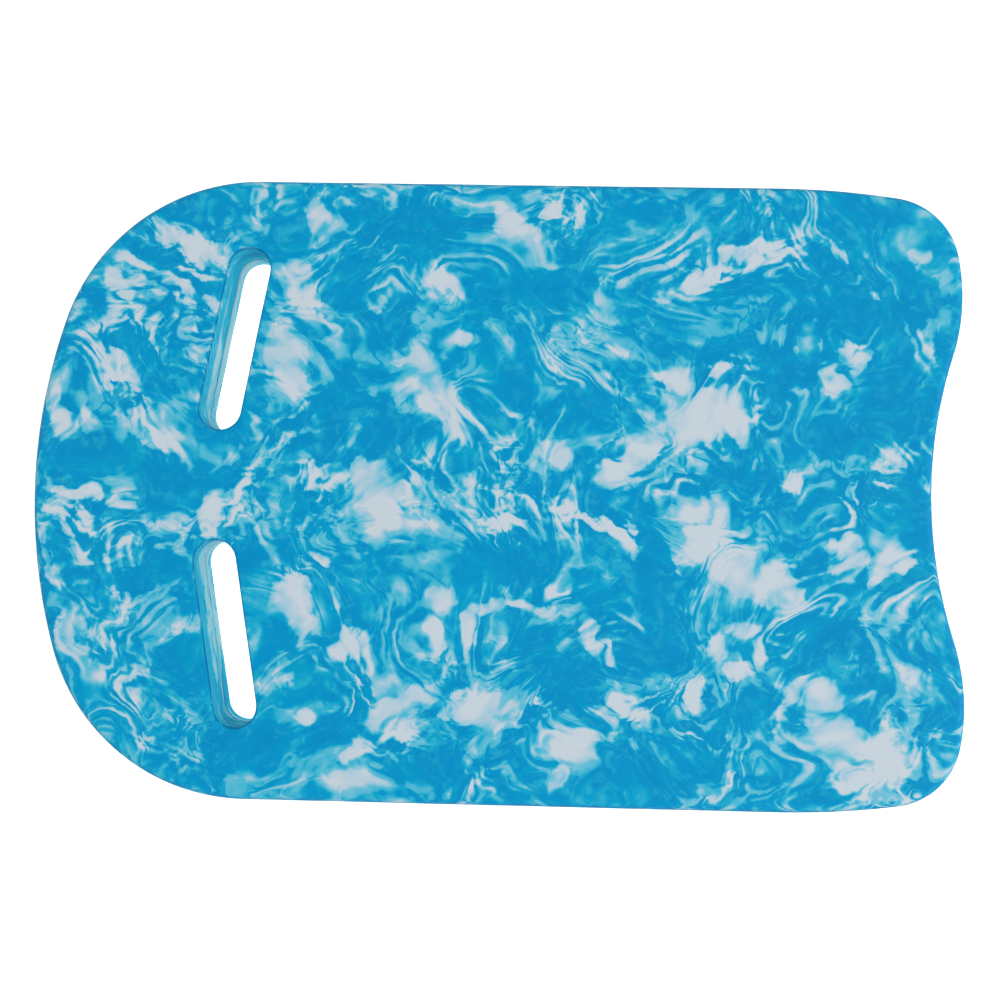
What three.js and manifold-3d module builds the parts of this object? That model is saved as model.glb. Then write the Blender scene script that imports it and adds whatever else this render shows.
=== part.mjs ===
// A swimming kickboard: three foam sheets bonded face to face, with two hand slots cut through the stack.
//
// Millimetres, +Z up. X runs along the board, from the round nose at -X to the hollowed tail at +X.
// The origin is on the underside, midway along and midway across.

import * as THREE from 'three';
import { mergeVertices } from 'three/addons/utils/BufferGeometryUtils.js';
import Module from 'manifold-3d';

const wasm = await Module();
wasm.setup();

// ---- Driving dimensions: millimetres and degrees ----

const LENGTH = 430;
const WIDTH = 288;
const SHEET_THICKNESS = 9.75;
const FILM_THICKNESS = 0.375;

const NOSE_RADIUS = 260;
const NOSE_CORNER_RADIUS = 95;
const FLANK_RADIUS = 400;
const FLANK_SWEEP = 8;
const TAIL_CORNER_RADIUS = 34;
const TAIL_CORNER_SWEEP = 71;
const TAIL_END_RADIUS = 97;
const NOTCH_DEPTH = 14.5;
const EDGE_RADIUS = 4;

const SLOT_X = -123;
const SLOT_Y = 68.5;
const SLOT_LENGTH = 86.5;
const SLOT_WIDTH = 19.5;
const SLOT_TILT = 10;
const SLOT_RIM_CHAMFER = 1.5;

const CHORD_ERROR = 0.04;
const EDGE_STEPS = 6;
const CUT_MARGIN = 5;

// ---- The stack, from the underside up ----

const FOAM = { roughness: 0.62, metalness: 0 };
const FILM = { color: 0xdbe9ee, roughness: 0.45, metalness: 0 };
const STACK = [
  { name: 'bottom_sheet', thickness: SHEET_THICKNESS, material: { color: 0x4fb4dc, ...FOAM } },
  { name: 'lower_bond_film', thickness: FILM_THICKNESS, material: FILM },
  { name: 'core_sheet', thickness: SHEET_THICKNESS, material: { color: 0x7cc6de, ...FOAM } },
  { name: 'upper_bond_film', thickness: FILM_THICKNESS, material: FILM },
  { name: 'top_sheet', thickness: SHEET_THICKNESS, material: { color: 0x3aa8d8, ...FOAM } },
];
const BOARD_THICKNESS = STACK.reduce((sum, layer) => sum + layer.thickness, 0);

const radians = THREE.MathUtils.degToRad;

// ---- Outline ----

// Half of the outline, from the middle of the nose round to the middle of the tail, as tangent arcs and one
// straight side. A positive sweep turns right, round the board; a negative one turns left.
function halfOutline() {
  const halfWidth = WIDTH / 2;
  const noseSweep = Math.asin((halfWidth - NOSE_CORNER_RADIUS) / (NOSE_RADIUS - NOSE_CORNER_RADIUS));
  const flankSweep = radians(FLANK_SWEEP);
  const turned = flankSweep + radians(TAIL_CORNER_SWEEP);

  const noseLength = NOSE_RADIUS * (1 - Math.cos(noseSweep)) + NOSE_CORNER_RADIUS * Math.cos(noseSweep);
  const tailLength = FLANK_RADIUS * Math.sin(flankSweep)
    + TAIL_CORNER_RADIUS * (Math.sin(turned) - Math.sin(flankSweep))
    + TAIL_END_RADIUS * (1 - Math.sin(turned));

  // Half the distance between the two tail ends, where the outline reaches its full length.
  const tailEndY = halfWidth - FLANK_RADIUS * (1 - Math.cos(flankSweep))
    - TAIL_CORNER_RADIUS * (Math.cos(flankSweep) - Math.cos(turned))
    - TAIL_END_RADIUS * Math.cos(turned);
  const notchSweep = 2 * Math.atan(NOTCH_DEPTH / tailEndY);
  const notchRadius = tailEndY / Math.sin(notchSweep) - TAIL_END_RADIUS;

  return [
    { radius: NOSE_RADIUS, sweep: noseSweep },
    { radius: NOSE_CORNER_RADIUS, sweep: Math.PI / 2 - noseSweep },
    { straight: LENGTH - noseLength - tailLength },
    { radius: FLANK_RADIUS, sweep: flankSweep },
    { radius: TAIL_CORNER_RADIUS, sweep: radians(TAIL_CORNER_SWEEP) },
    { radius: TAIL_END_RADIUS, sweep: Math.PI / 2 - turned },
    { radius: TAIL_END_RADIUS, sweep: notchSweep },
    { radius: notchRadius, sweep: -notchSweep },
  ];
}

// Points round an arc, without its first point. The steps are short enough to stay within CHORD_ERROR of it.
function arcPoints(centre, radius, from, to) {
  const step = 2 * Math.acos(1 - CHORD_ERROR / radius);
  const count = Math.ceil(Math.abs(to - from) / step);
  const points = [];
  for (let i = 1; i <= count; i += 1) {
    const angle = from + ((to - from) * i) / count;
    points.push(new THREE.Vector2(Math.cos(angle), Math.sin(angle)).multiplyScalar(radius).add(centre));
  }
  return points;
}

// Walks a closed chain of arcs and straights from a start point and heading.
function walk(chain, start, startHeading) {
  const points = [start];
  let heading = startHeading;
  for (const { radius, sweep, straight } of chain) {
    const here = points[points.length - 1];
    if (straight) {
      points.push(new THREE.Vector2(Math.cos(heading), Math.sin(heading)).multiplyScalar(straight).add(here));
      continue;
    }
    const side = Math.sign(sweep);
    const toCentre = new THREE.Vector2(Math.sin(heading), -Math.cos(heading)).multiplyScalar(side * radius);
    const from = heading + (side * Math.PI) / 2;
    points.push(...arcPoints(toCentre.add(here), radius, from, from - sweep));
    heading -= sweep;
  }
  points.pop();
  return new THREE.Shape(points);
}

function boardOutline() {
  const half = halfOutline();
  return walk([...half, ...half.toReversed()], new THREE.Vector2(-LENGTH / 2, 0), Math.PI / 2);
}

// A slot lies across the board at its own origin: two straight sides joined by half circles.
function slotOutline() {
  const radius = SLOT_WIDTH / 2;
  const straight = SLOT_LENGTH - SLOT_WIDTH;
  const chain = [{ straight }, { radius, sweep: Math.PI }, { straight }, { radius, sweep: Math.PI }];
  return walk(chain, new THREE.Vector2(-radius, -straight / 2), Math.PI / 2);
}

// ---- Solids ----

function toSolid(geometry) {
  const bare = geometry.clone();
  bare.deleteAttribute('normal');
  bare.deleteAttribute('uv');
  const merged = mergeVertices(bare, 1e-4);
  return new wasm.Manifold(new wasm.Mesh({
    numProp: 3,
    vertProperties: new Float32Array(merged.attributes.position.array),
    triVerts: new Uint32Array(merged.index.array),
  }));
}

function toGeometry(solid) {
  const { vertProperties, triVerts } = solid.getMesh();
  const geometry = new THREE.BufferGeometry();
  geometry.setAttribute('position', new THREE.BufferAttribute(vertProperties, 3));
  geometry.setIndex(new THREE.BufferAttribute(triVerts, 1));
  geometry.computeVertexNormals();
  return geometry;
}

// The whole board before its slots are cut, with both outer edges rounded.
function roundedBlank() {
  const geometry = new THREE.ExtrudeGeometry(boardOutline(), {
    depth: BOARD_THICKNESS - 2 * EDGE_RADIUS,
    bevelThickness: EDGE_RADIUS,
    bevelSize: EDGE_RADIUS,
    bevelOffset: -EDGE_RADIUS,
    bevelSegments: EDGE_STEPS,
  });
  geometry.translate(0, 0, EDGE_RADIUS);
  return toSolid(geometry);
}

// What is cut away for one slot: a straight hole and a flare at each face, which leaves a chamfered rim.
function slotCutter(side) {
  const outline = slotOutline();
  const hole = new THREE.ExtrudeGeometry(outline, {
    depth: BOARD_THICKNESS + 2 * CUT_MARGIN,
    bevelEnabled: false,
  });
  hole.translate(0, 0, -CUT_MARGIN);

  const upperFlare = new THREE.ExtrudeGeometry(outline, {
    depth: CUT_MARGIN,
    bevelThickness: SLOT_RIM_CHAMFER,
    bevelSize: SLOT_RIM_CHAMFER,
    bevelSegments: 1,
  });
  const lowerFlare = upperFlare.clone().translate(0, 0, -CUT_MARGIN);
  upperFlare.translate(0, 0, BOARD_THICKNESS);

  const place = new THREE.Matrix4()
    .makeRotationZ(-side * radians(SLOT_TILT))
    .setPosition(SLOT_X, side * SLOT_Y, 0);
  return [hole, upperFlare, lowerFlare]
    .map((geometry) => toSolid(geometry.applyMatrix4(place)))
    .reduce((joined, solid) => joined.add(solid));
}

function slab(low, high) {
  const geometry = new THREE.BoxGeometry(LENGTH + 2 * CUT_MARGIN, WIDTH + 2 * CUT_MARGIN, high - low);
  geometry.translate(0, 0, (low + high) / 2);
  return toSolid(geometry);
}

// ---- The board ----

function buildBoard() {
  const board = new THREE.Group();
  board.name = 'kickboard';
  const cut = roundedBlank().subtract(slotCutter(1)).subtract(slotCutter(-1));
  let low = 0;
  for (const { name, thickness, material } of STACK) {
    const high = low + thickness;
    const geometry = toGeometry(cut.intersect(slab(low, high))).translate(0, 0, -low);
    const mesh = new THREE.Mesh(geometry, new THREE.MeshStandardMaterial(material));
    mesh.name = name;
    mesh.position.z = low;
    board.add(mesh);
    low = high;
  }
  return board;
}

export default buildBoard();
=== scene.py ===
"""A laminated foam kickboard: three sheets of marbled blue and white closed-cell foam, glued face
to face, with two hand slots cut through them. Metres, in the frame's axes: X runs along the board
from nose to tail, Y across it and Z up. The marbling's own places are in millimetres.
"""

import math

import bmesh
import bpy
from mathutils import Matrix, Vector, kdtree, noise
from mathutils.geometry import delaunay_2d_cdt


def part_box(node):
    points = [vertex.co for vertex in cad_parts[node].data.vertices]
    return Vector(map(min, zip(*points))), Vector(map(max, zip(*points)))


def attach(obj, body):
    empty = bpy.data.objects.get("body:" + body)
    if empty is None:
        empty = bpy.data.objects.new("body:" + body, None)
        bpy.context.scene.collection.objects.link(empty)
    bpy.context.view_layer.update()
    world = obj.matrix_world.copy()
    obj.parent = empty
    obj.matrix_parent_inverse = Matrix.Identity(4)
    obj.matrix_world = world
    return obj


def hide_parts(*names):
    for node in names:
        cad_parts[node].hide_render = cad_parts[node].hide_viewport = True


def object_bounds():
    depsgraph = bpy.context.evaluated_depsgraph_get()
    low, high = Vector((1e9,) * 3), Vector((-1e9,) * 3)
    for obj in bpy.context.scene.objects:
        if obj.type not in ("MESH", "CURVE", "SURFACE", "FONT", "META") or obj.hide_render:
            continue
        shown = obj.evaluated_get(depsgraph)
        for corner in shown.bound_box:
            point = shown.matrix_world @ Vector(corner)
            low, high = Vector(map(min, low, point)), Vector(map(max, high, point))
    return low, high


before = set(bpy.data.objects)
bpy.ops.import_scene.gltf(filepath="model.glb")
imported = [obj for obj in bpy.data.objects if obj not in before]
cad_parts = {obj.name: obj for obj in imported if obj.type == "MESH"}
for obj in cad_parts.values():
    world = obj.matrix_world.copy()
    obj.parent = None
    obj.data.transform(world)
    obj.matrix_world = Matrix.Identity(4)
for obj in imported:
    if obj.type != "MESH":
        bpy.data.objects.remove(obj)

MM = 0.001
CAD_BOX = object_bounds()
LOW, HIGH = Vector(CAD_BOX[0]), Vector(CAD_BOX[1])
LENGTH, WIDTH, THICKNESS = HIGH - LOW

# ---- Driving dimensions ----

NOSE_RADIUS = 260 * MM
NOSE_CORNER_RADIUS = 95 * MM
FLANK_RADIUS = 400 * MM
FLANK_SWEEP = math.radians(8)
TAIL_CORNER_RADIUS = 34 * MM
TAIL_CORNER_SWEEP = math.radians(71)
TAIL_END_RADIUS = 97 * MM
NOTCH_DEPTH = 14.5 * MM
EDGE_RADIUS = 4 * MM

SLOT_X = -123 * MM
SLOT_Y = 68.5 * MM
SLOT_LENGTH = 86.5 * MM
SLOT_WIDTH = 19.5 * MM
SLOT_TILT = math.radians(10)
SLOT_RIM_RADIUS = 1.5 * MM

# Fine shape: the eased edges at the glue lines, and how far foam stands back from its true planes.
JOINT_RADIUS = 0.25 * MM
FILM_RADIUS = 0.12 * MM
FILM_RECESS = 0.15 * MM
SHOULDER = 0.8 * MM
FACE_DIP = 0.25 * MM
FACE_WAVES = ((58 * MM, 0.7), (17 * MM, 0.3))
WALL_DIP = 0.15 * MM
WALL_WAVE = 21 * MM

# How finely the meshes are divided.
OUTLINE_STEP = 1.8 * MM
SLOT_STEP = 1.1 * MM
WALL_STEP = 2 * MM
FACE_STEP = 5 * MM
GLUED_FACE_STEP = 20 * MM
RIM_MARGIN = 0.6
SAME_POINT = 1e-7


# ---- Outlines ----
# An outline is a list of stations, each a point and the direction that leads out of the foam there.
# A chain is walked clockwise seen from above, by arcs (radius, sweep) and straights (None, length).

def left_of(heading):
    return Vector((-math.sin(heading), math.cos(heading)))


def walk(chain, start, heading, step, outward=1):
    stations = []
    point = Vector(start)
    for radius, amount in chain:
        if radius is None:
            along = Vector((math.cos(heading), math.sin(heading)))
            count = max(2, round(amount / step))
            for i in range(count):
                stations.append((point + along * amount * i / count, left_of(heading) * outward))
            point = point + along * amount
            continue
        side = math.copysign(1, amount)
        centre = point - left_of(heading) * side * radius
        count = max(4, round(abs(amount) * radius / step))
        for i in range(count):
            turned = heading - amount * i / count
            stations.append((centre + left_of(turned) * side * radius, left_of(turned) * outward))
        heading -= amount
        point = centre + left_of(heading) * side * radius
    return stations


def board_outline():
    """Half the outline from the middle of the nose to the middle of the tail's notch, then its mirror."""
    half = WIDTH / 2
    turned = FLANK_SWEEP + TAIL_CORNER_SWEEP
    nose_sweep = math.asin((half - NOSE_CORNER_RADIUS) / (NOSE_RADIUS - NOSE_CORNER_RADIUS))
    nose_length = NOSE_RADIUS * (1 - math.cos(nose_sweep)) + NOSE_CORNER_RADIUS * math.cos(nose_sweep)
    tail_length = (
        FLANK_RADIUS * math.sin(FLANK_SWEEP)
        + TAIL_CORNER_RADIUS * (math.sin(turned) - math.sin(FLANK_SWEEP))
        + TAIL_END_RADIUS * (1 - math.sin(turned))
    )
    tail_end_y = (
        half
        - FLANK_RADIUS * (1 - math.cos(FLANK_SWEEP))
        - TAIL_CORNER_RADIUS * (math.cos(FLANK_SWEEP) - math.cos(turned))
        - TAIL_END_RADIUS * math.cos(turned)
    )
    notch_sweep = 2 * math.atan(NOTCH_DEPTH / tail_end_y)
    notch_radius = tail_end_y / math.sin(notch_sweep) - TAIL_END_RADIUS
    chain = [
        (NOSE_RADIUS, nose_sweep),
        (NOSE_CORNER_RADIUS, math.pi / 2 - nose_sweep),
        (None, LENGTH - nose_length - tail_length),
        (FLANK_RADIUS, FLANK_SWEEP),
        (TAIL_CORNER_RADIUS, TAIL_CORNER_SWEEP),
        (TAIL_END_RADIUS, math.pi / 2 - turned),
        (TAIL_END_RADIUS, notch_sweep),
        (notch_radius, -notch_sweep),
    ]
    return walk(chain + chain[::-1], (LOW.x, 0), math.pi / 2, OUTLINE_STEP)


def slot_outline(side):
    """Two straight sides joined by half circles, its inner end leaning towards the nose."""
    radius = SLOT_WIDTH / 2
    straight = SLOT_LENGTH - SLOT_WIDTH
    heading = math.pi / 2 - side * SLOT_TILT
    along = Vector((math.cos(heading), math.sin(heading)))
    start = Vector((SLOT_X, side * SLOT_Y)) - along * straight / 2 + left_of(heading) * radius
    return walk([(None, straight), (radius, math.pi)] * 2, start, heading, SLOT_STEP, outward=-1)


# ---- Sheet meshes ----

def round_steps(radius):
    """A larger corner is divided more finely."""
    return max(3, round(2.5 * math.sqrt(radius / MM) + 2))


def quarter_round(radius, height, up):
    """An eased corner as (distance back from the wall, height), from the face to the wall."""
    steps = round_steps(radius)
    points = []
    for i in range(steps + 1):
        angle = math.pi / 2 * i / steps
        points.append((radius * (1 - math.sin(angle)), height + up * radius * (1 - math.cos(angle))))
    return points


def wall_profile(low, high, low_radius, high_radius, recess):
    """A wall from a flat shoulder on the lower face, up and round, to one on the upper face."""
    foot = quarter_round(low_radius, low, 1)
    head = quarter_round(high_radius, high, -1)[::-1]
    bottom, top = low + low_radius, high - high_radius
    count = max(1, round((top - bottom) / WALL_STEP))
    middle = [(0, bottom + (top - bottom) * i / count) for i in range(1, count)]
    points = [(low_radius + SHOULDER, low), *foot, *middle, *head, (high_radius + SHOULDER, high)]
    return [(recess + back, height) for back, height in points]


def wave(x, y, z, size):
    return 0.5 + 0.5 * noise.noise(Vector((x, y, z)) / size)


def face_dip(x, y):
    """How far an outer face lies inside its true plane, in slow shallow waves."""
    return FACE_DIP * sum(share * wave(x, y, size, size) for size, share in FACE_WAVES)


class Sheet:
    """One sheet of the board as a closed mesh, with the board's outline and both slots."""

    def __init__(self, node, foot_radius, head_radius, recess=0):
        low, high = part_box(node)
        self.low, self.high = low[2], high[2]
        self.foot_radius, self.head_radius = foot_radius, head_radius
        self.foot_outside, self.head_outside = foot_radius == EDGE_RADIUS, head_radius == EDGE_RADIUS
        self.recess = recess
        self.mesh = bmesh.new()

    def height(self, x, y, z):
        """Outer faces are dipped, less and less down the wall; glued faces stay flat."""
        near_top = max(0, 1 - (self.high - z) / EDGE_RADIUS) if self.head_outside else 0
        near_foot = max(0, 1 - (z - self.low) / EDGE_RADIUS) if self.foot_outside else 0
        return z + face_dip(x, y) * (near_foot - near_top)

    def vertex(self, x, y, z):
        return self.mesh.verts.new((x, y, self.height(x, y, z)))

    def wall(self, outline, foot_radius, head_radius, material=0):
        """Rings of vertices up one outline, joined by quads: returns the lowest and the highest."""
        rings = []
        profile = wall_profile(self.low, self.high, foot_radius, head_radius, self.recess)
        for back, z in profile:
            ring = []
            for point, outward in outline:
                uneven = WALL_DIP * wave(point.x, point.y, 2 * z, WALL_WAVE)
                at = point - outward * (back + uneven)
                ring.append(self.vertex(at.x, at.y, z))
            rings.append(ring)
        for level, (lower, upper) in enumerate(zip(rings, rings[1:])):
            upright = profile[level][0] == profile[level + 1][0]
            for i in range(len(lower)):
                face = self.mesh.faces.new((lower[i - 1], lower[i], upper[i], upper[i - 1]))
                face.material_index = material if upright else 0
        return rings[0], rings[-1]

    def face(self, loops, outlines, z, step):
        """A flat face between the outer loop and the slots' loops, on a grid of triangles."""
        verts = [vert for loop in loops for vert in loop]
        outward = [station[1] for outline in outlines for station in outline]
        edges = []
        for loop in loops:
            first = len(edges)
            edges += [(first + i, first + (i + 1) % len(loop)) for i in range(len(loop))]
        rim = kdtree.KDTree(len(verts))
        for i, vert in enumerate(verts):
            rim.insert((vert.co.x, vert.co.y, 0), i)
        rim.balance()

        def depth(x, y):
            """How deep a point lies in the foam, seen from the nearest edge: negative outside it."""
            nearest, i, _ = rim.find((x, y, 0))
            return (nearest.xy - Vector((x, y))).dot(outward[i])

        row_step = step * math.sqrt(3) / 2
        for row in range(math.ceil(WIDTH / row_step)):
            for column in range(math.ceil(LENGTH / step)):
                x, y = LOW.x + (column + 0.5 * (row % 2)) * step, LOW.y + row * row_step
                if depth(x, y) > RIM_MARGIN * step:
                    verts.append(self.vertex(x, y, z))
        flat = [vert.co.xy for vert in verts]
        placed, _, triangles, sources, _, _ = delaunay_2d_cdt(flat, edges, [], 1, SAME_POINT)
        for triangle in triangles:
            centre = sum((placed[i] for i in triangle), Vector((0, 0))) / 3
            if depth(*centre) > 0:
                self.mesh.faces.new([verts[sources[i][0]] for i in triangle])

    def build(self, name, outer, slots):
        rim_foot = SLOT_RIM_RADIUS if self.foot_outside else self.foot_radius
        rim_head = SLOT_RIM_RADIUS if self.head_outside else self.head_radius
        walls = [self.wall(outer, self.foot_radius, self.head_radius)]
        walls += [self.wall(slot, rim_foot, rim_head, material=1) for slot in slots]
        levels = ((self.low, self.foot_outside), (self.high, self.head_outside))
        for level, (z, outside) in enumerate(levels):
            step = FACE_STEP if outside else GLUED_FACE_STEP
            self.face([ends[level] for ends in walls], [outer, *slots], z, step)
        bmesh.ops.recalc_face_normals(self.mesh, faces=self.mesh.faces)
        for face in self.mesh.faces:
            face.smooth = True
        data = bpy.data.meshes.new(name)
        self.mesh.to_mesh(data)
        self.mesh.free()
        return link(bpy.data.objects.new(name, data))


def link(thing):
    bpy.context.scene.collection.objects.link(thing)
    return thing


# ---- Node materials ----

def tint(red, green, blue):
    """A colour given as it looks on a screen, 0 to 255, as a shader's linear colour."""
    def linear(value):
        value /= 255
        return value / 12.92 if value <= 0.04045 else ((value + 0.055) / 1.055) ** 2.4
    return (linear(red), linear(green), linear(blue), 1)


class Nodes:
    """Builds one material. An input is another node's output, or a plain number, tuple or colour."""

    def __init__(self, name):
        self.material = bpy.data.materials.new(name)
        self.material.use_nodes = True
        self.tree = self.material.node_tree
        self.tree.nodes.clear()

    def add(self, kind, inputs=None, output=0, **settings):
        node = self.tree.nodes.new("ShaderNode" + kind)
        for key, value in settings.items():
            setattr(node, key, value)
        for key, value in (inputs or {}).items():
            socket = node.inputs[key]
            if isinstance(value, bpy.types.NodeSocket):
                self.tree.links.new(value, socket)
            else:
                socket.default_value = value
        return node.outputs[output]

    def surface(self, **inputs):
        """Ends the tree with one Principled surface."""
        shader = self.add("BsdfPrincipled", {key.replace("_", " "): value for key, value in inputs.items()})
        output = self.tree.nodes.new("ShaderNodeOutputMaterial")
        self.tree.links.new(shader, output.inputs["Surface"])

    def normal(self):
        return self.add("TexCoord", output=1)

    def place(self):
        """The object's own coordinates, in metres."""
        return self.add("TexCoord", output=3)

    def maths(self, operation, a, b=0.0, c=0.0, clamp=False):
        return self.add("Math", {0: a, 1: b, 2: c}, operation=operation, use_clamp=clamp)

    def vector(self, operation, a, b):
        key = 3 if operation == "SCALE" else 1
        return self.add("VectorMath", {0: a, key: b}, operation=operation)

    def offset(self, point, by):
        return self.vector("ADD", point, by)

    def noise(self, point, size, detail=2.0, roughness=0.5, output=0):
        """Fractal noise round 0.5, whose coarsest lumps are about size millimetres apart."""
        inputs = {"Vector": point, "Scale": 1 / size, "Detail": detail, "Roughness": roughness}
        return self.add("TexNoise", inputs, output=output)

    def stir(self, point, size, reach):
        """Carries a point to a place up to about reach away, as a slow eddy of that size would."""
        drift = self.noise(point, size, detail=1.0, output=1)
        drift = self.vector("SUBTRACT", drift, (0.5, 0.5, 0.5))
        drift = self.vector("SCALE", drift, 4 * reach)
        return self.vector("ADD", point, drift)

    def spread(self, value, low, high, to_low=0.0, to_high=1.0, smooth=False):
        inputs = {"Value": value, 1: low, 2: high, 3: to_low, 4: to_high}
        kind = "SMOOTHSTEP" if smooth else "LINEAR"
        return self.add("MapRange", inputs, interpolation_type=kind)

    def weigh(self, *parts):
        """The sum of noises, each taken about its middle and given a weight."""
        total = None
        for value, weight in parts:
            value = self.maths("MULTIPLY", self.maths("SUBTRACT", value, 0.5), weight)
            total = value if total is None else self.maths("ADD", total, value)
        return total

    def mix(self, share, a, b):
        inputs = {0: share, 2: a, 3: b}
        return self.add("Mix", inputs, data_type="FLOAT")

    def mix_colour(self, share, a, b, blend="MIX"):
        inputs = {0: share, 6: a, 7: b}
        return self.add("Mix", inputs, output=2, data_type="RGBA", blend_type=blend)

    def ramp(self, value, stops):
        colour = self.add("ValToRGB", {0: value})
        elements = colour.node.color_ramp.elements
        while len(elements) < len(stops):
            elements.new(1)
        for element, (position, shade) in zip(elements, stops):
            element.position = position
            element.color = shade
        return colour

    def ellipse(self, point, ellipse, height, depth):
        """An ellipse's own coordinates, and how far in a point lies: 1 in its middle, 0 outside."""
        x, y, half_length, half_width, angle = ellipse
        inputs = {
            "Vector": point,
            "Location": (x, y, height),
            "Rotation": (0, 0, math.radians(angle)),
            "Scale": (half_length, half_width, depth),
        }
        local = self.add("Mapping", inputs, vector_type="TEXTURE")
        return local, self.add("TexGradient", {0: local}, output=1, gradient_type="SPHERICAL")

    def blots(self, point, ellipses, height, depth):
        """How far in a point lies in any of the ellipses: 1 in the middle of one, 0 outside them."""
        total = 0.0
        for ellipse in ellipses:
            _, share = self.ellipse(point, ellipse, height, depth)
            total = self.maths("MAXIMUM", share, total)
        return total


# ---- Marbling ----
# What the upper face shows, each an ellipse given as x, y, half length and half width in
# millimetres, and its angle from the X axis in degrees.

WHITE_PATCHES = (
    # tail half, left of the centre line
    (90, 34, 27, 18, 25), (84, 52, 9, 12, 0), (106, 36, 13, 14, 0), (68, 18, 19, 9, 40),
    (53, 7, 9, 12, 80), (29, 19, 12, 8, -10), (155, 52, 8, 7, -30), (166, 62, 6, 10, -20),
    (3, 123, 12, 10, 0), (24, 131, 9, 5, 40), (115, 112, 21, 8, 18), (193, 112, 6, 4, 0),
    (92, 98, 16, 8, 35), (137, 7, 7, 7, 0), (-24, 94, 13, 5, -30), (-14, 71, 9, 6, 0),
    # tail half, right of the centre line
    (97, -17, 24, 14, -58), (119, -38, 31, 16, -27), (134, -46, 12, 9, 0), (160, -27, 14, 13, 0),
    (104, -71, 5, 11, 0), (122, -71, 5, 11, 0), (113, -62, 10, 5, 0), (113, -81, 10, 5, 0),
    (148, -90, 20, 12, -10), (157, -110, 24, 15, -30), (178, -117, 18, 13, 20), (168, -128, 18, 8, 0),
    (185, -32, 14, 5, 35), (-10, -63, 11, 5, 75), (-2, -53, 11, 5, 25), (12, -51, 10, 4.5, -10),
    (25, -55, 10, 4, -15), (36, -54, 10, 5, 10), (45, -67, 17, 5, -70), (-2, -101, 22, 13, -8),
    (38, -117, 16, 12, -20), (32, -130, 12, 6, 75), (64, -102, 19, 7, -28), (91, -90, 7, 8, 0),
    (46, -16, 25, 4, -24), (5, -14, 14, 5, -8), (54, -73, 8, 3, -55),
    # nose half, left of the centre line
    (-27, 44, 32, 12, -58), (-143, 112, 23, 8, -26), (-92, 90, 22, 11, -50), (-98, 64, 20, 13, -75),
    (-93, 50, 10, 10, 0), (-157, 23, 19, 9, -28), (-189, 29, 10, 9, 0), (-203, 28, 8, 12, 0),
    (-88, 127, 9, 7, -45), (-141, 99, 16, 3, -8), (-150, 91, 14, 4, -30), (-133, 86, 9, 4.5, -10),
    (-174, 104, 12, 5, -15), (-178, 91, 16, 5, -52), (-177, 53, 19, 4.5, -45),
    # nose half, right of the centre line
    (-54, -6, 16, 24, 5), (-63, 8, 7, 8, 0), (-132, -14, 8, 13, 0), (-92, -50, 12, 14, 0),
    (-87, -64, 7, 10, 0), (-65, -73, 12, 9, 20), (-27, -68, 6, 12, 10), (-38, -101, 24, 11, 38),
    (-25, -51, 11, 7, 30), (-194, -4, 18, 4, -8), (-86, -106, 7, 5, 0), (-62, -122, 10, 5, 60),
)
PALE_CLOUDS = (
    (-7, -6, 24, 15, 0), (80, 111, 20, 13, 0), (98, 100, 22, 9, 20), (78, 92, 11, 9, 0),
    (42, 78, 18, 6, 15), (27, 66, 12, 6, 60), (66, 76, 11, 7, 0), (57, 68, 12, 5, -30),
    (-28, 92, 18, 10, -30), (-40, 63, 18, 5, 25), (-175, 92, 20, 8, -58), (-183, 52, 20, 7, -48),
    (-158, 68, 24, 16, 0), (-172, 42, 22, 8, -35), (-150, -17, 18, 5, 30), (-170, -28, 16, 5, 15),
    (-120, -10, 12, 14, 0), (-86, -2, 11, 13, 0), (-186, -72, 16, 15, 0), (-170, -60, 14, 9, 30),
    (-148, -67, 12, 8, 0), (-165, -90, 17, 13, 30), (-150, -122, 20, 7, -35), (-95, -88, 9, 8, 0),
    (-63, -127, 10, 12, 0), (133, -103, 16, 8, 30), (90, -90, 11, 10, 0), (173, -79, 16, 8, 10),
    (187, -60, 13, 10, 0), (195, -84, 9, 9, 0), (165, -56, 12, 7, 0), (137, 7, 11, 13, 0),
    (160, 113, 13, 9, 0), (143, 120, 16, 5, -25), (62, -20, 13, 9, 0), (42, -12, 22, 6, -24),
    (4, 14, 10, 18, 0), (7, -70, 18, 3, -8), (180, 18, 22, 8, 20), (-196, -14, 22, 9, -20),
    (-53, 88, 5, 14, -15), (-20, -80, 12, 8, 50), (118, 58, 22, 5, 5), (55, 97, 12, 6, 0),
    (35, 131, 16, 8, 50), (-201, -48, 8, 10, 0), (-180, 75, 14, 10, -40),
)
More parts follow.
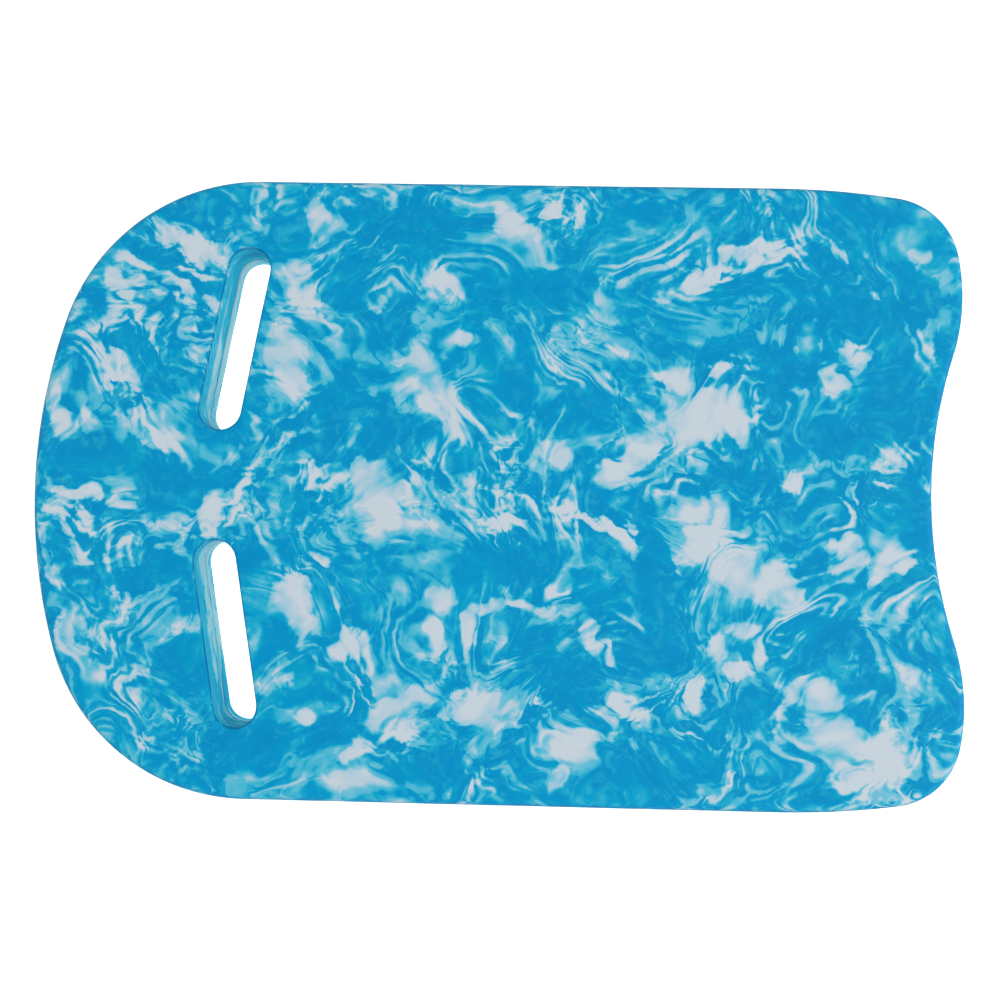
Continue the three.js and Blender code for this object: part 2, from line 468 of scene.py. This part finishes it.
BLUE_POOLS = (
    (-187, 10, 26, 12, -10), (-153, 2, 30, 13, -12), (-160, -42, 26, 8, 15), (-138, -84, 18, 16, 0),
    (-98, -70, 11, 7, 0), (-112, -120, 28, 11, -10), (-72, -112, 14, 8, 20), (-26, -128, 24, 10, 0),
    (6, -32, 32, 13, 0), (33, -84, 26, 14, -30), (73, -36, 12, 38, 0),
    (76, -72, 18, 14, 0), (71, -128, 22, 11, 0), (116, -97, 16, 10, 30), (104, 66, 18, 7, 10),
    (130, 60, 26, 16, 0), (162, 84, 44, 19, -8), (184, 44, 18, 26, 0), (114, 8, 28, 9, 8),
    (18, 93, 30, 12, 10), (-40, 120, 30, 16, 0), (-70, 96, 13, 20, 0), (10, 48, 12, 14, 0),
    (44, 38, 14, 10, 20), (-76, 34, 14, 16, 0), (-50, 26, 13, 14, 0), (62, 130, 26, 9, 0),
    (172, 133, 26, 8, -10), (192, -10, 14, 16, 0), (150, -60, 16, 8, -20), (155, 28, 18, 10, 0),
    (-120, 30, 10, 12, 0), (122, -32, 5, 9, -30), (113, -72, 6, 6, 0), (75, 33, 4, 7, -30),
    (-20, -90, 8, 6, 30), (-118, -36, 10, 14, 0), (-38, 128, 34, 9, 0), (190, 98, 16, 9, -30),
    (-163, 108, 19, 4.5, -22), (-142, 95, 18, 3.5, -12), (-188, 86, 9, 6, -50), (-172, 66, 12, 8, 20),
    (39, -41, 14, 8, 0), (20, -68, 16, 9, 0),
)
DRAWN_BUNDLES = (
    (-40, 10, 38, 18, -56), (24, -9, 52, 11, -16), (60, -22, 26, 10, -40), (-145, 107, 34, 18, -32),
    (-158, 90, 32, 13, -20), (-114, 8, 22, 16, 62), (-86, -4, 24, 14, 82), (33, 128, 22, 16, 55),
    (117, 108, 38, 17, 25), (114, 58, 28, 10, 5), (184, 3, 26, 12, -12), (190, 76, 28, 10, -62),
    (-160, -30, 36, 11, 18), (-193, -18, 22, 12, -25), (88, -108, 30, 12, -20), (-142, -127, 28, 10, -30),
    (53, -78, 20, 9, -62), (-40, -108, 26, 11, 20), (136, -90, 22, 9, 60), (-88, 28, 26, 14, 40),
)

# Layers of the marbling are this much thinner than they are wide, and what is placed on the upper
# face fades out this far below it, in thinned millimetres.
LAYER_THINNING = 3.2
PLACED_DEPTH = 60

# Stirring: the size of the eddies and how far they carry the foam.
SLOW_EDDIES = (75, 20)
MEDIUM_EDDIES = (24, 6)
QUICK_EDDIES = (8, 1.5)
BORDER_EDDIES = ((16, 3.8), (5, 1.0))

# Streaks: how many lie across and along the noises that guide them, and how far a placed patch or
# pool turns them aside. In a placed bundle they have a width, a length and a number of layers.
SWIRL_SIZE = 58
STREAKS_ACROSS = 30.0
RUN_SIZE = 46
STREAKS_ALONG = 9.0
TURNED_BY_WHITE = 1.2
TURNED_BY_BLUE = -0.8
STREAK_WIDTH = 4.6
STREAK_LENGTH = 40
STREAK_LAYERS = 9
STREAK_STRENGTH = 2.1

# The field runs from blue at 0 to white at 1. What each part of it adds:
BODY_WEIGHT = 1.5
LACE_WEIGHT = 0.38
GRAIN_WEIGHT = 0.13
MOTTLE_WEIGHT = 0.8
PATCH_WEIGHT = 2.6
MIDDLE = 0.405
# veins as their size, weight and how far apart they come and go
VEINS = ((15, -0.22, 37), (12, 0.16, 29))
# placed patches, clouds and pools as the power that shapes their slope, and their weight
WHITE_SHAPE = (0.7, 0.33)
PALE_SHAPE = (0.7, 0.19)
BLUE_SHAPE = (0.6, -0.3)
SOLID_WHITE = 0.16
ECHO_TURNS = 17.0

DEEP_BLUE = tint(0, 136, 192)
TEAL = tint(0, 167, 202)
THREAD_BLUE = tint(50, 186, 210)
# Painted shade: multiplied into the skin where it turns upright, at the rims and outer walls.
PAINTED_RIM_SHADE = tint(140, 168, 190)
CUT_TEAL = tint(84, 208, 204)
GLUE_SHADES = (tint(150, 200, 216), tint(190, 214, 224))
MARBLE_SHADES = (
    (0.0, tint(0, 144, 199)),
    (0.34, tint(0, 150, 203)),
    (0.41, tint(2, 160, 205)),
    (0.46, tint(20, 167, 207)),
    (0.51, tint(50, 177, 210)),
    (0.56, tint(86, 187, 214)),
    (0.62, tint(124, 196, 218)),
    (0.70, tint(157, 200, 219)),
    (0.80, tint(177, 205, 220)),
    (1.0, tint(200, 212, 221)),
)


class Marble(Nodes):
    """Two colours of foam crumb moulded together: pools, patches, drawn-out streaks and fine lace."""

    def __init__(self, name, offset, whiteness, placed):
        super().__init__(name)
        self.whiteness = whiteness
        self.placed = placed
        self.thinned = self.vector("MULTIPLY", self.place(), (1 / MM, 1 / MM, LAYER_THINNING / MM))
        point = self.offset(self.thinned, offset)
        # The foam was stirred: each stir carries the pattern along smaller eddies.
        self.slow = self.stir(point, *SLOW_EDDIES)
        self.medium = self.stir(self.slow, *MEDIUM_EDDIES)
        self.quick = self.stir(self.medium, *QUICK_EDDIES)
        # What is placed is stirred little, so that only its borders are carried about.
        self.near = point
        for eddies in BORDER_EDDIES:
            self.near = self.stir(self.near, *eddies)
        if placed:
            self.white = self.placed_blots(WHITE_PATCHES)
            self.pale = self.placed_blots(PALE_CLOUDS)
            self.blue = self.placed_blots(BLUE_POOLS)
        self.ribbon = self.drawn_ribbon()

    def placed_blots(self, ellipses):
        return self.blots(self.near, ellipses, THICKNESS / MM * LAYER_THINNING, PLACED_DEPTH)

    def drawn_ribbon(self):
        """A plane of noise rolled up along a slow swirl, so that what lies on it is drawn out."""
        swirl = self.noise(self.quick, SWIRL_SIZE, detail=1.0, roughness=0.4)
        across = self.maths("MULTIPLY", swirl, STREAKS_ACROSS)
        if self.placed:
            across = self.maths("MULTIPLY_ADD", self.white, TURNED_BY_WHITE, across)
            across = self.maths("MULTIPLY_ADD", self.blue, TURNED_BY_BLUE, across)
        run = self.noise(self.offset(self.slow, (0, 0, 70)), RUN_SIZE, detail=0.0)
        along = self.maths("MULTIPLY", run, STREAKS_ALONG)
        return self.add("CombineXYZ", {"X": across, "Y": along})

    def body(self):
        """Drawn-out streaks in some places and turbulent lumps in others."""
        streaks = self.noise(self.ribbon, 1, detail=0.6)
        lumps = self.noise(self.quick, 13, detail=1.8)
        drawn = self.spread(self.noise(self.slow, 44, detail=1.0), 0.45, 0.54, 0.3, 1.0, smooth=True)
        return self.mix(drawn, lumps, streaks)

    def with_veins(self, field):
        """Thin blue threads through the white foam and pale threads through the blue."""
        for size, weight, presence in VEINS:
            vein = self.noise(self.offset(self.quick, (0, size * 9, presence)), size)
            vein = self.maths("ABSOLUTE", self.maths("SUBTRACT", vein, 0.5))
            here = self.noise(self.offset(self.slow, (presence, 0, 0)), presence, detail=1.0)
            here = self.spread(here, 0.47, 0.62)
            vein = self.maths("MULTIPLY", self.spread(vein, 0.045, 0.0), here)
            field = self.maths("ADD", field, self.maths("MULTIPLY", vein, weight))
        return field

    def with_bundles(self, field):
        """Streaks side by side along each bundle's own length, fading out at its border."""
        height = THICKNESS / MM * LAYER_THINNING
        bundles = 0.0
        for bundle in DRAWN_BUNDLES:
            local, share = self.ellipse(self.near, bundle, height, PLACED_DEPTH)
            half_length, half_width = bundle[2:4]
            stretch = (half_length / STREAK_LENGTH, half_width / STREAK_WIDTH, STREAK_LAYERS)
            streak = self.noise(self.vector("MULTIPLY", local, stretch), 1, detail=1.5, roughness=0.6)
            streak = self.maths("SUBTRACT", streak, 0.5)
            streak = self.maths("MULTIPLY", streak, self.maths("POWER", share, 0.5))
            bundles = self.maths("MULTIPLY_ADD", streak, STREAK_STRENGTH, bundles)
        return self.maths("ADD", field, bundles)

    def with_placed(self, field, grain):
        """The patches, clouds and pools that the upper face shows, calm inside and mottled where pale."""
        calm = self.maths("MAXIMUM", self.white, self.blue)
        field = self.maths("MULTIPLY", field, self.spread(calm, 0.15, 0.7, 1.0, 0.55))
        mottle = self.maths("MULTIPLY", self.maths("SUBTRACT", grain, 0.5), self.pale)
        field = self.maths("MULTIPLY_ADD", mottle, MOTTLE_WEIGHT, field)
        shapes = ((self.white, WHITE_SHAPE), (self.pale, PALE_SHAPE), (self.blue, BLUE_SHAPE))
        for share, (power, weight) in shapes:
            field = self.maths("MULTIPLY_ADD", self.maths("POWER", share, power), weight, field)
        solid = self.spread(self.white, 0.15, 0.37, 0.0, SOLID_WHITE, smooth=True)
        return self.maths("ADD", field, solid)

    def with_echoes(self, field):
        """Thin bands echo the borders of the patches, as the layers of a stirred mix do."""
        echo = self.maths("SINE", self.maths("MULTIPLY", field, ECHO_TURNS))
        banded = self.spread(self.noise(self.slow, 33, detail=1.0), 0.42, 0.58, 0.0, 0.05)
        return self.maths("MULTIPLY_ADD", echo, banded, field)

    def with_borders(self, field):
        """Some borders are cut sharp and others fade out like milk in water."""
        blur = self.noise(self.slow, 26, detail=1.0)
        contrast = self.spread(blur, 0.40, 0.60, 0.85, 1.6, smooth=True)
        field = self.maths("MULTIPLY", self.maths("SUBTRACT", field, 0.5), contrast)
        return self.maths("ADD", field, 0.5, clamp=True)

    def field(self):
        """How blue or white the foam is: 0 to 1."""
        lace = self.noise(self.near, 8, detail=1.2)
        grain = self.noise(self.near, 3.2, detail=1.5)
        field = self.weigh((self.body(), BODY_WEIGHT), (lace, LACE_WEIGHT), (grain, GRAIN_WEIGHT))
        field = self.with_veins(field)
        if self.placed:
            field = self.with_placed(self.with_bundles(field), grain)
        else:
            patches = self.noise(self.medium, 44, detail=1.5)
            field = self.maths("ADD", field, self.weigh((patches, PATCH_WEIGHT)))
        field = self.maths("ADD", field, MIDDLE + self.whiteness)
        return self.with_borders(self.with_echoes(field))

    def with_drift(self, shade, blueness):
        """The blue itself drifts between a deeper and a greener shade."""
        drift = self.noise(self.quick, 13, detail=4.0, roughness=0.65)
        greener = self.spread(drift, 0.50, 0.68, 0.0, 0.5, smooth=True)
        deeper = self.spread(drift, 0.48, 0.34, 0.0, 0.4, smooth=True)
        shade = self.mix_colour(self.maths("MULTIPLY", greener, blueness), shade, TEAL)
        return self.mix_colour(self.maths("MULTIPLY", deeper, blueness), shade, DEEP_BLUE)

    def with_threads(self, shade, blueness):
        """Fine pale threads in the blue, drawn out along the same swirl, fewer in the placed pools."""
        threads = self.noise(self.vector("SCALE", self.ribbon, 1.4), 1, roughness=0.6)
        threads = self.mix(0.45, threads, self.noise(self.near, 5, detail=2.5, roughness=0.6))
        threads = self.spread(threads, 0.51, 0.67, 0.0, 0.75)
        if self.placed:
            threads = self.maths("MULTIPLY", threads, self.spread(self.blue, 0.1, 0.55, 1.0, 0.4))
        return self.mix_colour(self.maths("MULTIPLY", threads, blueness), shade, THREAD_BLUE)

    def shade(self):
        field = self.field()
        blueness = self.spread(field, 0.55, 0.38)
        shade = self.with_drift(self.ramp(field, MARBLE_SHADES), blueness)
        return self.with_threads(shade, blueness)


def moulded_skin(name, offset, whiteness, placed):
    """Closed cells under the skin leave it finely pebbled, with a dull sheen that comes and goes.
    Where the skin turns upright, at the rims and on the outer walls, its colour is multiplied a shade
    deeper: painted shade.
    """
    n = Marble(name, offset, whiteness, placed)
    cells = n.add("TexVoronoi", {"Vector": n.thinned, "Scale": 1.4}, feature="SMOOTH_F1")
    pebble = n.noise(n.thinned, 2.6)
    height = n.maths("MULTIPLY_ADD", cells, 0.5, pebble)
    bump = n.add("Bump", {"Height": height, "Strength": 0.25, "Distance": 0.12 * MM})
    roughness = n.spread(pebble, 0.35, 0.65, 0.5, 0.64)
    # Painted shade: the more upright the skin, the more its colour is darkened.
    facing = n.add("SeparateXYZ", {0: n.normal()}, output=2)
    upright = n.spread(n.maths("ABSOLUTE", facing), 0.95, 0.4, 0.0, 0.8)
    shade = n.mix_colour(upright, n.shade(), PAINTED_RIM_SHADE, blend="MULTIPLY")
    n.surface(Base_Color=shade, Roughness=roughness, Normal=bump, Specular_IOR_Level=0.07)
    return n.material


def cut_foam(name, offset, whiteness, placed):
    """Where a slot was cut, the sliced cells stand open: matt, with small round pits."""
    n = Marble(name, offset, whiteness, placed)
    pits = n.add("TexVoronoi", {"Vector": n.thinned, "Scale": 1.9}, feature="F1")
    pits = n.spread(pits, 0.05, 0.45)
    torn = n.noise(n.thinned, 1.1)
    height = n.maths("MULTIPLY_ADD", pits, 0.8, torn)
    bump = n.add("Bump", {"Height": height, "Strength": 0.4, "Distance": 0.2 * MM})
    roughness = n.spread(pits, 0.0, 1.0, 0.95, 0.86)
    shade = n.mix_colour(n.spread(torn, 0.3, 0.7, 0.2, 0.42), n.shade(), CUT_TEAL)
    n.surface(Base_Color=shade, Roughness=roughness, Normal=bump, Specular_IOR_Level=0.02)
    return n.material


def glue(name):
    """The bond films: a thin pale line of contact glue, a little cloudy."""
    n = Nodes(name)
    place = n.vector("SCALE", n.place(), 1 / MM)
    cloud = n.noise(place, 7, detail=3.0)
    shade = n.mix_colour(n.spread(cloud, 0.35, 0.65), *GLUE_SHADES)
    roughness = n.spread(cloud, 0.3, 0.7, 0.35, 0.5)
    bump = n.add("Bump", {"Height": n.noise(place, 1.2), "Strength": 0.2, "Distance": 0.1 * MM})
    n.surface(Base_Color=shade, Roughness=roughness, Normal=bump, Specular_IOR_Level=0.3)
    return n.material


# ---- The board ----

# Each sheet's node and finish, its lower and upper edge radius, where its own marbling lies, and how
# white that is on its skin and on the slots' cut walls.
SHEETS = (
    ("top_sheet", "foam_top", JOINT_RADIUS, EDGE_RADIUS, (0, 0, 0), 0.0, -0.08),
    ("core_sheet", "foam_core", JOINT_RADIUS, JOINT_RADIUS, (410, -230, 95), 0.3, 0.38),
    ("bottom_sheet", "foam_bottom", EDGE_RADIUS, JOINT_RADIUS, (-530, 320, -260), 0.1, 0.34),
)


def make_board():
    outer = board_outline()
    slots = [slot_outline(side) for side in (1, -1)]
    for node, slot, foot, head, offset, skin_white, cut_white in SHEETS:
        placed = node == "top_sheet"
        piece = Sheet(node, foot, head).build("marbled_" + node, outer, slots)
        piece.data.materials.append(moulded_skin(slot, offset, skin_white, placed))
        piece.data.materials.append(cut_foam(slot + "_cut", offset, cut_white, placed))
        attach(piece, "root")
        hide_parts(node)
    film = glue("bond_glue")
    for node in ("upper_bond_film", "lower_bond_film"):
        piece = Sheet(node, FILM_RADIUS, FILM_RADIUS, FILM_RECESS).build("glued_" + node, outer, slots)
        piece.data.materials.append(film)
        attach(piece, "root")
        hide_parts(node)


# ---- Studio ----

# The photograph's own viewpoint, in millimetres and degrees.
CAMERA_PLACE = (12.310, -31.306, 509.599)
CAMERA_ANGLES = (3.189, 1.115, 1.164)
CAMERA_LENS = 37.64
CAMERA_SENSOR = 36

# Each light's name, its place and size in metres, and its power in watts.
LIGHTS = (
    ("key_light", (3.0, -0.5, 2.5), 2.6, 96),
    ("fill_light", (-1.6, 0.4, 1.1), 1.3, 6),
    ("low_light", (0.2, -1.8, 0.9), 1.2, 3),
)
AIR_STRENGTH = 0.5

TABLE_RADIUS = 40
TABLE_GAP = 0.2 * MM
TABLE_SHADES = ((0.86, 0.86, 0.86, 1), (0.9, 0.9, 0.9, 1))
TABLE_GLOW = 0.62
# Painted light: the table's glow is raised in this area under the slots to light their walls.
SLOT_GLOW = 1.15
SLOT_GLOW_AREA = (SLOT_X / MM, 0, 80, 190, 0)


def make_camera():
    data = bpy.data.cameras.new("camera")
    data.sensor_width = CAMERA_SENSOR
    data.lens = CAMERA_LENS
    data.clip_start = 0.01
    camera = link(bpy.data.objects.new("camera", data))
    camera.location = [value * MM for value in CAMERA_PLACE]
    camera.rotation_euler = [math.radians(angle) for angle in CAMERA_ANGLES]
    bpy.context.scene.camera = camera


def make_light(name, place, size, power):
    """A round soft light that faces the board."""
    data = bpy.data.lights.new(name, "AREA")
    data.shape = "DISK"
    data.size = size
    data.energy = power
    light = link(bpy.data.objects.new(name, data))
    light.location = place
    light.rotation_euler = (-Vector(place)).to_track_quat("-Z", "Y").to_euler()


def table_white(name):
    """White, a little cloudy, and glowing though it is no lamp, with a painted pool of brighter glow under
    the slots.
    """
    n = Nodes(name)
    place = n.vector("SCALE", n.place(), 1 / MM)
    shade = n.mix_colour(n.noise(place, 300, detail=1.0), *TABLE_SHADES)
    painted_glow_under_slots = n.blots(place, (SLOT_GLOW_AREA,), 0, 50)
    strength = n.spread(painted_glow_under_slots, 0.26, 0.38, TABLE_GLOW, SLOT_GLOW)
    glow = {"Emission_Color": (1, 1, 1, 1), "Emission_Strength": strength}
    n.surface(Base_Color=shade, Roughness=0.7, Specular_IOR_Level=0.1, **glow)
    return n.material


def make_table():
    """A wide white table that glows a little all over, and more in a painted pool of glow under the slots,
    so the slots stay bright.
    """
    mesh = bmesh.new()
    bmesh.ops.create_circle(mesh, cap_ends=True, segments=96, radius=TABLE_RADIUS)
    data = bpy.data.meshes.new("studio_table")
    mesh.to_mesh(data)
    mesh.free()
    table = link(bpy.data.objects.new("studio_table", data))
    table.location = (0, 0, LOW.z - TABLE_GAP)
    data.materials.append(table_white("table_white"))


def make_studio():
    make_table()
    for name, place, size, power in LIGHTS:
        make_light(name, place, size, power)
    world = bpy.data.worlds.new("studio_air")
    world.use_nodes = True
    background = world.node_tree.nodes["Background"]
    background.inputs["Color"].default_value = (1, 1, 1, 1)
    background.inputs["Strength"].default_value = AIR_STRENGTH
    bpy.context.scene.world = world
    bpy.context.scene.view_settings.view_transform = "Standard"


make_camera()
make_board()
make_studio()
